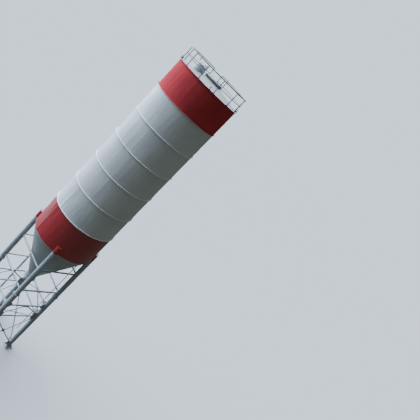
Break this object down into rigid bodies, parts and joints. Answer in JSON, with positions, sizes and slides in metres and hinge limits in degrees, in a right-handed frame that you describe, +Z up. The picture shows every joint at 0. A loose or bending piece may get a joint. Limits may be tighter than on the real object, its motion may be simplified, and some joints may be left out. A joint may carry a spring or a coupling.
{
  "type": "cement silo",
  "caption": "Tall cylindrical cement silo with red end bands, conical hopper, railed roof and braced tubular legs.",
  "frame": {"origin": "on the silo's vertical axis, at the level of the undersides of the base plates", "axes": "+Z up the silo's axis; X and Y square to the sides of the leg frame; the picture looks at the front right leg, between +X and -Y"},
  "size_m": [3.63, 3.63, 19.147],
  "materials": {
    "red_paint": "semi-gloss red paint on steel plate, weathered",
    "white_paint": "semi-gloss light grey paint on steel plate, weathered",
    "leg_paint": "satin light grey paint on steel tube",
    "hopper_paint": "satin mid grey paint on steel plate",
    "roof_paint": "satin light grey paint on steel plate, dusty",
    "dark_steel": "dark grey paint on steel, matt",
    "rail_paint": "satin blue-grey paint on steel tube"
  },
  "bodies": {
    "root": {"lower_red_band": "red_paint", "white_course_1": "white_paint", "white_course_2": "white_paint", "white_course_3": "white_paint", "white_course_4": "white_paint", "white_course_5": "white_paint", "top_red_course": "red_paint", "hopper_cone": "hopper_paint", "outlet_neck": "hopper_paint", "roof": "roof_paint", "centre_collar": "roof_paint", "centre_cover": "dark_steel", "relief_valve": "dark_steel", "railing_back_left": "rail_paint", "railing_front_left": "rail_paint", "railing_front_right": "rail_paint", "railing_back_right": "rail_paint", "lifting_lug_front_right": "dark_steel", "lifting_lug_back_right": "dark_steel", "lifting_lug_back_left": "dark_steel", "lifting_lug_front_left": "dark_steel", "leg_head_front_right": "red_paint", "leg_head_back_right": "red_paint", "leg_head_back_left": "red_paint", "leg_head_front_left": "red_paint", "upper_leg_front_right": "leg_paint", "upper_leg_back_right": "leg_paint", "upper_leg_back_left": "leg_paint", "upper_leg_front_left": "leg_paint", "lower_leg_front_right": "leg_paint", "lower_leg_back_right": "leg_paint", "lower_leg_back_left": "leg_paint", "lower_leg_front_left": "leg_paint", "upper_brace_front": "leg_paint", "upper_brace_right": "leg_paint", "upper_brace_back": "leg_paint", "upper_brace_left": "leg_paint", "middle_brace_front": "leg_paint", "middle_brace_right": "leg_paint", "middle_brace_back": "leg_paint", "middle_brace_left": "leg_paint", "cross_bracing_front": "leg_paint", "cross_bracing_right": "leg_paint", "cross_bracing_back": "leg_paint", "cross_bracing_left": "leg_paint", "fill_pipe": "leg_paint", "air_pipe": "leg_paint", "ladder_lower": "leg_paint", "ladder_middle": "leg_paint", "ladder_upper": "leg_paint"}
  },
  "joints": []
}
